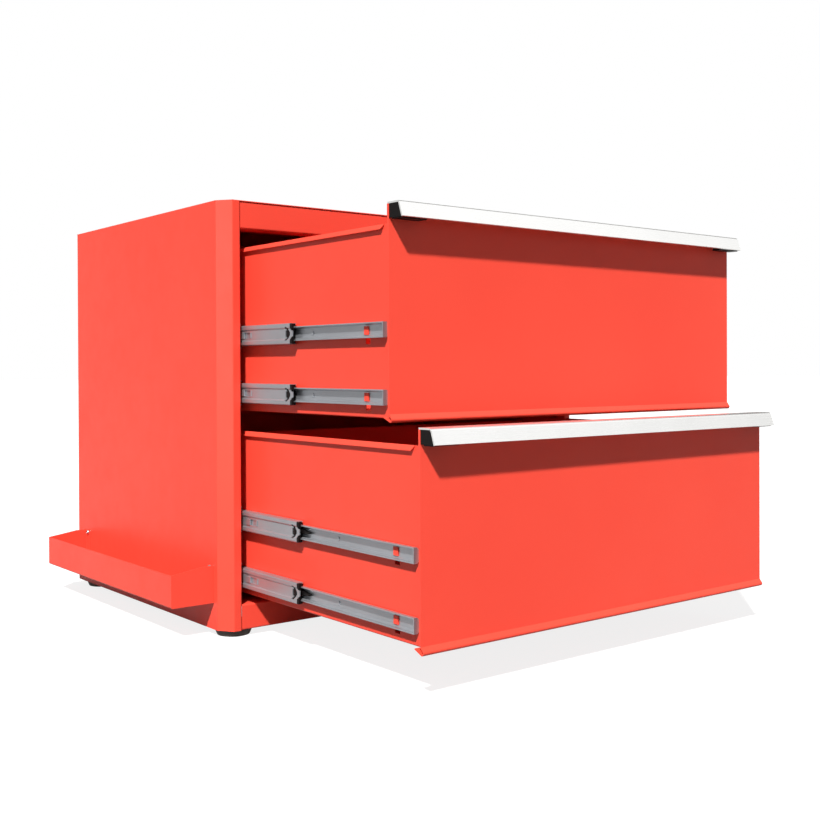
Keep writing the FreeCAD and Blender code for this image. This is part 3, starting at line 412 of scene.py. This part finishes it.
use_group(
    handle_aluminium, metal_group, PAINT_LINKS,
    Color=(*ALUMINIUM, 1), Streak_color=(*ALUMINIUM_DARK, 1), Stretch=(9.0, 1100.0, 1100.0),
    Roughness_low=0.23, Roughness_high=0.29, Line_depth=0.05,
)

# %% [markdown]
# ## Plastic and rubber
# The handle's end caps, the bumpers and the levers are moulded in black. Moulds are spark eroded
# to a fine grain, which keeps them from shining like glass. The feet are dull rubber that has
# picked up some dust, most of it low down, where it meets the floor.

# %% Build the moulded group
SPECKLE_SCALE = 160.0
GRAIN_SCALE = 2200.0
PIT_DEPTH = 0.00006
DUST_SHARE = 0.8
moulded_group, given, made = new_group(
    "moulded grain",
    [
        ("Color", "Color", (0.02, 0.02, 0.02, 1)),
        ("Dust color", "Color", (0.1, 0.08, 0.07, 1)),
        ("Dust height", "Float", 0.0),
        ("Grain", "Float", 0.3),
        ("Roughness low", "Float", 0.4),
        ("Roughness high", "Float", 0.55),
    ],
    [("Color", "Color"), ("Roughness", "Float"), ("Normal", "Vector")],
)
place = moulded_group.nodes.new("ShaderNodeTexCoord").outputs["Object"]
height = moulded_group.nodes.new("ShaderNodeSeparateXYZ")
moulded_group.links.new(place, height.inputs["Vector"])
speckle = add_noise(moulded_group, place, SPECKLE_SCALE, detail=5.0)
low_down = remap(
    moulded_group, height.outputs["Z"], given.outputs["Dust height"], 0.0, 0.0, DUST_SHARE
)
dust = moulded_group.nodes.new("ShaderNodeMath")
dust.operation = "MULTIPLY"
moulded_group.links.new(low_down, dust.inputs[0])
moulded_group.links.new(speckle, dust.inputs[1])
moulded_group.links.new(
    mix_color(
        moulded_group, dust.outputs["Value"], given.outputs["Color"], given.outputs["Dust color"]
    ),
    made.inputs["Color"],
)
grain = add_noise(moulded_group, place, GRAIN_SCALE, detail=2.0)
moulded_group.links.new(
    remap(
        moulded_group, speckle, *FULL_SPAN,
        given.outputs["Roughness low"], given.outputs["Roughness high"],
    ),
    made.inputs["Roughness"],
)
pits = moulded_group.nodes.new("ShaderNodeBump")
pits.inputs["Distance"].default_value = PIT_DEPTH
moulded_group.links.new(given.outputs["Grain"], pits.inputs["Strength"])
moulded_group.links.new(grain, pits.inputs["Height"])
moulded_group.links.new(pits.outputs["Normal"], made.inputs["Normal"])
print("moulded group has", len(moulded_group.nodes), "nodes")

# %% [markdown]
# ## Black parts
# The plastic is almost black and hardly shines. The rubber is a dark, warm grey below its dust.

# %% Mix the plastic and the rubber
BLACK = (0.004, 0.003, 0.003)
RUBBER = (0.030, 0.024, 0.022)
FOOT_DUST = (0.20, 0.15, 0.13)
black_plastic = new_material("black plastic", BLACK, 0.42, Specular_IOR_Level=0.12)
use_group(
    black_plastic, moulded_group, PAINT_LINKS,
    Color=(*BLACK, 1), Dust_color=(*BLACK, 1), Dust_height=-1.0, Grain=0.35,
    Roughness_low=0.36, Roughness_high=0.5,
)
foot_rubber = new_material("foot rubber", RUBBER, 0.7)
use_group(
    foot_rubber, moulded_group, PAINT_LINKS,
    Color=(*RUBBER, 1), Dust_color=(*FOOT_DUST, 1), Dust_height=0.008, Grain=0.5,
    Roughness_low=0.6, Roughness_high=0.8,
)

# %% [markdown]
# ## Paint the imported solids
# A solid whose shape is right is kept, and only its material slots change. The record names the
# finish of every node, so one table from slot name to material covers nearly all of them. The
# drawers come from a glossier batch of paint, and screws and bolts are brighter than the slides.

# %% Give every solid its finish
FINISHES = {
    "cabinet_paint": cabinet_paint,
    "zinc_steel": slide_zinc,
    "handle_aluminium": handle_aluminium,
    "black_plastic": black_plastic,
    "foot_rubber": foot_rubber,
}
for part in frame["record"]["subparts"]:
    solid = frame["nodes"][part["node"]]
    finish = FINISHES[part["material_slot"]]
    if "drawer" in part["node"]:
        finish = drawer_paint
    if part["node"].endswith(("bolts", "screws")):
        finish = screw_zinc
    solid.data.materials.clear()
    solid.data.materials.append(finish)

# %% [markdown]
# ## Helpers for small parts
# The small parts are built from mesh operators. A turned part is one line of points, spun once
# round its axis. Sizes are in millimetres, as on a drawing, and become metres when the part is
# done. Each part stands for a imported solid, which is then hidden.

# %% Helpers for small parts
MM = 0.001
WELD = 1e-6
SHARP_ANGLE = math.radians(32)


def spin_profile(mesh, points, steps, closed=False):
    """Turns a line of (radius, height) points round the Z axis."""
    corners = [mesh.verts.new((radius, 0, height)) for radius, height in points]
    pairs = list(zip(corners, corners[1:]))
    if closed:
        pairs.append((corners[-1], corners[0]))
    edges = [mesh.edges.new(pair) for pair in pairs]
    bmesh.ops.spin(
        mesh, geom=corners + edges, axis=(0, 0, 1), cent=(0, 0, 0), angle=2 * math.pi,
        steps=steps, use_merge=True,
    )


def add_copy(mesh, source, matrix):
    """Adds a copy of a mesh, moved by a matrix."""
    before = len(mesh.verts)
    mesh.from_mesh(source)
    mesh.verts.ensure_lookup_table()
    bmesh.ops.transform(mesh, matrix=matrix, verts=mesh.verts[before:])


def to_mesh_data(mesh, name):
    """Welds a mesh, turns its faces outwards and marks its sharp edges."""
    bmesh.ops.remove_doubles(mesh, verts=mesh.verts, dist=WELD)
    bmesh.ops.recalc_face_normals(mesh, faces=mesh.faces)
    data = bpy.data.meshes.new(name)
    mesh.to_mesh(data)
    mesh.free()
    data.polygons.foreach_set("use_smooth", [True] * len(data.polygons))
    data.set_sharp_from_angle(angle=SHARP_ANGLE)
    return data


def add_piece(mesh, name, material, body, slot, *nodes):
    """Makes a finished piece of a mesh. It rides on a body and stands for the given solids."""
    data = to_mesh_data(mesh, name)
    data.materials.append(material)
    piece = bpy.data.objects.new(name, data)
    bpy.context.scene.collection.objects.link(piece)
    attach(piece, body)
    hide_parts(*nodes)
    print(name, len(data.polygons), "faces")


def middle(low, high):
    """The number half way between two others."""
    return (low + high) / 2


# %% [markdown]
# ## Rubber feet
# Each foot is moulded rubber: a low cone with a rounded rim, a fine parting line round its
# middle and three grip grooves underneath. A hollow in the base hides the bolt's head. All of it
# is turned, so one closed outline and one spin make it. Rounded rims need a few points each,
# because a single chamfer would show as a hard line in the light.

# %% Turn the feet
FOOT_STEPS = 96
FOOT_TOP = 8.5
FOOT_OUTLINE = [
    (3.2, FOOT_TOP), (22.0, FOOT_TOP), (22.55, 8.35), (22.85, 8.05), (23.0, 7.5),
    (21.95, 4.6), (21.65, 4.5), (21.65, 4.1), (21.8, 4.0),
    (20.5, 1.2), (20.2, 0.55), (19.85, 0.2), (19.3, 0.0),
    (17.4, 0.0), (17.1, 0.7), (16.3, 0.7), (16.0, 0.0),
    (14.2, 0.0), (13.9, 0.7), (13.1, 0.7), (12.8, 0.0),
    (11.0, 0.0), (10.7, 0.7), (9.9, 0.7), (9.6, 0.0),
    (8.5, 0.0), (8.15, 0.15), (8.0, 0.5), (8.0, 5.0), (3.2, 5.0),
]
foot_mesh = bmesh.new()
spin_profile(foot_mesh, FOOT_OUTLINE, FOOT_STEPS, closed=True)
foot_data = to_mesh_data(foot_mesh, "foot shape")
foot_places = {}
for row in ("front", "rear"):
    for side in ("left", "right"):
        node = f"{row}_{side}_foot"
        low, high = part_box(node)
        foot_places[node] = Vector((middle(low[0], high[0]), middle(low[1], high[1]), low[2]))
        placed = bmesh.new()
        add_copy(placed, foot_data, Matrix.Translation(foot_places[node]) @ Matrix.Scale(MM, 4))
        add_piece(placed, f"turned_{node}", foot_rubber, "cabinet", "foot_rubber", node)

# %% [markdown]
# ## Foot bolts
# A hexagon bolt comes up through each foot and the cabinet's bottom flange, and a nut holds it
# inside. A six sided cone operator makes the hexagons. Bevelled rims give them the turned
# corners of real fasteners. The thread is shown as rings, which is enough for a part this small.

# %% Build the foot bolts
HEXAGON_RADIUS = 5.8
HEXAGON_CHAMFER = 0.45
BOLT_HEAD = (1.4, 5.0)
BOLT_NUT = (9.5, 14.5)
BOLT_TIP = 16.0
BOLT_RADIUS = 3.0
BOLT_STEPS = 32
SHANK_START = 4.5
SHANK_END = 8.5
THREAD_SPAN = (8.6, 15.6)
THREAD_DEPTH = 0.3
THREAD_PITCH = 1.0
TIP_CHAMFER = 0.6


def add_hexagon(mesh, low, high):
    """A hexagon prism with bevelled rims."""
    made_cone = bmesh.ops.create_cone(
        mesh, cap_ends=True, segments=6, radius1=HEXAGON_RADIUS, radius2=HEXAGON_RADIUS,
        depth=high - low, matrix=Matrix.Translation((0, 0, middle(low, high))),
    )
    corners = set(made_cone["verts"])
    rims = [
        edge for edge in mesh.edges
        if set(edge.verts) <= corners and abs(edge.verts[0].co.z - edge.verts[1].co.z) < WELD
    ]
    bmesh.ops.bevel(
        mesh, geom=rims, offset=HEXAGON_CHAMFER, segments=2, profile=0.5, affect="EDGES",
        material=-1,
    )


def thread_outline(radius, start, end, pitch, depth):
    """The outline of a thread shown as rings, from start to end."""
    count = round(abs(end - start) / pitch)
    step = (end - start) / count
    line = []
    for ring in range(count):
        line += [(radius, start + ring * step), (radius - depth, start + (ring + 0.5) * step)]
    return line


bolt_mesh = bmesh.new()
add_hexagon(bolt_mesh, *BOLT_HEAD)
add_hexagon(bolt_mesh, *BOLT_NUT)
shank = [(0.0, SHANK_START), (BOLT_RADIUS, SHANK_START), (BOLT_RADIUS, SHANK_END)]
shank += thread_outline(BOLT_RADIUS, *THREAD_SPAN, THREAD_PITCH, THREAD_DEPTH)
shank += [(BOLT_RADIUS - TIP_CHAMFER, BOLT_TIP), (0.0, BOLT_TIP)]
spin_profile(bolt_mesh, shank, BOLT_STEPS)
bolt_data = to_mesh_data(bolt_mesh, "bolt shape")
bolts = bmesh.new()
for spot in foot_places.values():
    add_copy(bolts, bolt_data, Matrix.Translation(spot) @ Matrix.Scale(MM, 4))
add_piece(bolts, "hexagon_foot_bolts", screw_zinc, "cabinet", "zinc_steel", "foot_bolts")

# %% [markdown]
# ## Tray screws
# Four pan head screws hold the tray, two at each end. The top of each head is a square grid. Its
# cross of cells is pushed down for the driver, and a ring of faces bridges the square to a
# circle. Pulling that circle outwards and down in steps makes the crown, and then the seat and
# the thread.

# %% Build the tray screws
GRID_CELLS = 9
GRID_HALF = 1.7
CROSS_REACH = 3
CROSS_HALF = 1
CROSS_DEPTH = 1.2
CROSS_TAPER = 0.7
HEAD_CROWN = 2.2
HEAD_RADIUS = 3.6
CROWN_STEPS = [(2.65, 2.0), (3.15, 1.65), (3.45, 1.1), (3.6, 0.45), (3.6, 0.0), (2.0, 0.0)]
SCREW_RADIUS = 2.0
SCREW_TIP = -7.0
SCREW_TIP_RADIUS = 1.2
SCREW_THREAD_SPAN = (-0.8, -6.2)
SCREW_PITCH = 0.7
SCREW_THREAD_DEPTH = 0.25
SCREW_TURNS = (0.2, 0.9, 1.3, 0.6)

screw_mesh = bmesh.new()
bmesh.ops.create_grid(
    screw_mesh, x_segments=GRID_CELLS, y_segments=GRID_CELLS, size=GRID_HALF,
    matrix=Matrix.Translation((0, 0, HEAD_CROWN)),
)
square_rim = [edge for edge in screw_mesh.edges if edge.is_boundary]
cell = 2 * GRID_HALF / GRID_CELLS


def in_cross(face):
    """True for a cell on one of the cross's two arms."""
    center = face.calc_center_median()
    across = sorted((abs(center.x), abs(center.y)))
    return across[0] < (CROSS_HALF + 0.5) * cell and across[1] < (CROSS_REACH + 0.5) * cell


cross = [face for face in screw_mesh.faces if in_cross(face)]
pushed = bmesh.ops.extrude_face_region(screw_mesh, geom=cross)["geom"]
bottom = [item for item in pushed if isinstance(item, bmesh.types.BMVert)]
bmesh.ops.translate(screw_mesh, vec=(0, 0, -CROSS_DEPTH), verts=bottom)
bmesh.ops.scale(screw_mesh, vec=(CROSS_TAPER, CROSS_TAPER, 1), verts=bottom)
bmesh.ops.delete(screw_mesh, geom=[face for face in cross if face.is_valid], context="FACES_ONLY")
turn = Matrix.Rotation(math.pi / len(square_rim), 4, "Z")
radius, height = CROWN_STEPS[0]
circle = bmesh.ops.create_circle(
    screw_mesh, segments=len(square_rim), radius=radius,
    matrix=Matrix.Translation((0, 0, height)) @ turn,
)["verts"]
ring = [edge for edge in screw_mesh.edges if set(edge.verts) <= set(circle)]
bmesh.ops.bridge_loops(screw_mesh, edges=square_rim + ring)
thread = thread_outline(SCREW_RADIUS, *SCREW_THREAD_SPAN, SCREW_PITCH, SCREW_THREAD_DEPTH)
thread.append((SCREW_TIP_RADIUS, SCREW_TIP))
for new_radius, new_height in CROWN_STEPS[1:] + thread:
    grown = bmesh.ops.extrude_edge_only(screw_mesh, edges=ring)["geom"]
    moved = [item for item in grown if isinstance(item, bmesh.types.BMVert)]
    ring = [
        item for item in grown
        if isinstance(item, bmesh.types.BMEdge) and set(item.verts) <= set(moved)
    ]
    share = new_radius / radius
    bmesh.ops.scale(screw_mesh, vec=(share, share, 1), verts=moved)
    bmesh.ops.translate(screw_mesh, vec=(0, 0, new_height - height), verts=moved)
    radius, height = new_radius, new_height
bmesh.ops.edgeloop_fill(screw_mesh, edges=ring)
screw_data = to_mesh_data(screw_mesh, "screw shape")

low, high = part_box("tray_screws")
reach = HEAD_RADIUS * MM
seat = low[0] + HEAD_CROWN * MM
rows = (low[1] + reach, high[1] - reach)
levels = (low[2] + reach, high[2] - reach)
spots = [(y, z) for y in rows for z in levels]
screws = bmesh.new()
for (y, z), angle in zip(spots, SCREW_TURNS):
    turned = Matrix.Rotation(-math.pi / 2, 4, "Y") @ Matrix.Rotation(angle, 4, "Z")
    add_copy(screws, screw_data, Matrix.Translation((seat, y, z)) @ turned @ Matrix.Scale(MM, 4))
add_piece(screws, "cross_head_tray_screws", screw_zinc, "cabinet", "zinc_steel", "tray_screws")

# %% [markdown]
# ## The floor
# The cabinet stands on a plain pale floor. It is a large plane, and it isn't part of the object.
# It glows faintly, which keeps its shadows light. Rays that light other things miss that glow, so
# the floor throws little light back up.

# %% Lay the floor
FLOOR_SIDE = 60.0
FLOOR_COLOR = (0.22, 0.22, 0.22)
FLOOR_ROUGHNESS = 0.9
FLOOR_GLOW = 0.84
FLOOR_SHEEN = 0.3
floor_mesh = bmesh.new()
bmesh.ops.create_grid(floor_mesh, x_segments=1, y_segments=1, size=FLOOR_SIDE / 2)
floor_data = bpy.data.meshes.new("floor")
floor_mesh.to_mesh(floor_data)
floor_mesh.free()
floor = bpy.data.objects.new("floor", floor_data)
bpy.context.scene.collection.objects.link(floor)
floor_finish = new_material("pale floor", FLOOR_COLOR, FLOOR_ROUGHNESS, Specular_IOR_Level=0.0)
floor_tree = floor_finish.node_tree
floor_shader = floor_tree.nodes["Principled BSDF"]
floor_shader.inputs["Emission Color"].default_value = WHITE
floor_ray = floor_tree.nodes.new("ShaderNodeLightPath")
sheen = floor_tree.nodes.new("ShaderNodeMath")
sheen.operation = "MULTIPLY"
sheen.inputs[1].default_value = FLOOR_SHEEN
floor_tree.links.new(floor_ray.outputs["Is Glossy Ray"], sheen.inputs[0])
glow = floor_tree.nodes.new("ShaderNodeMath")
glow.operation = "MULTIPLY_ADD"
glow.inputs[1].default_value = FLOOR_GLOW
floor_tree.links.new(floor_ray.outputs["Is Camera Ray"], glow.inputs[0])
floor_tree.links.new(sheen.outputs["Value"], glow.inputs[2])
floor_tree.links.new(glow.outputs["Value"], floor_shader.inputs["Emission Strength"])
floor.data.materials.append(floor_finish)
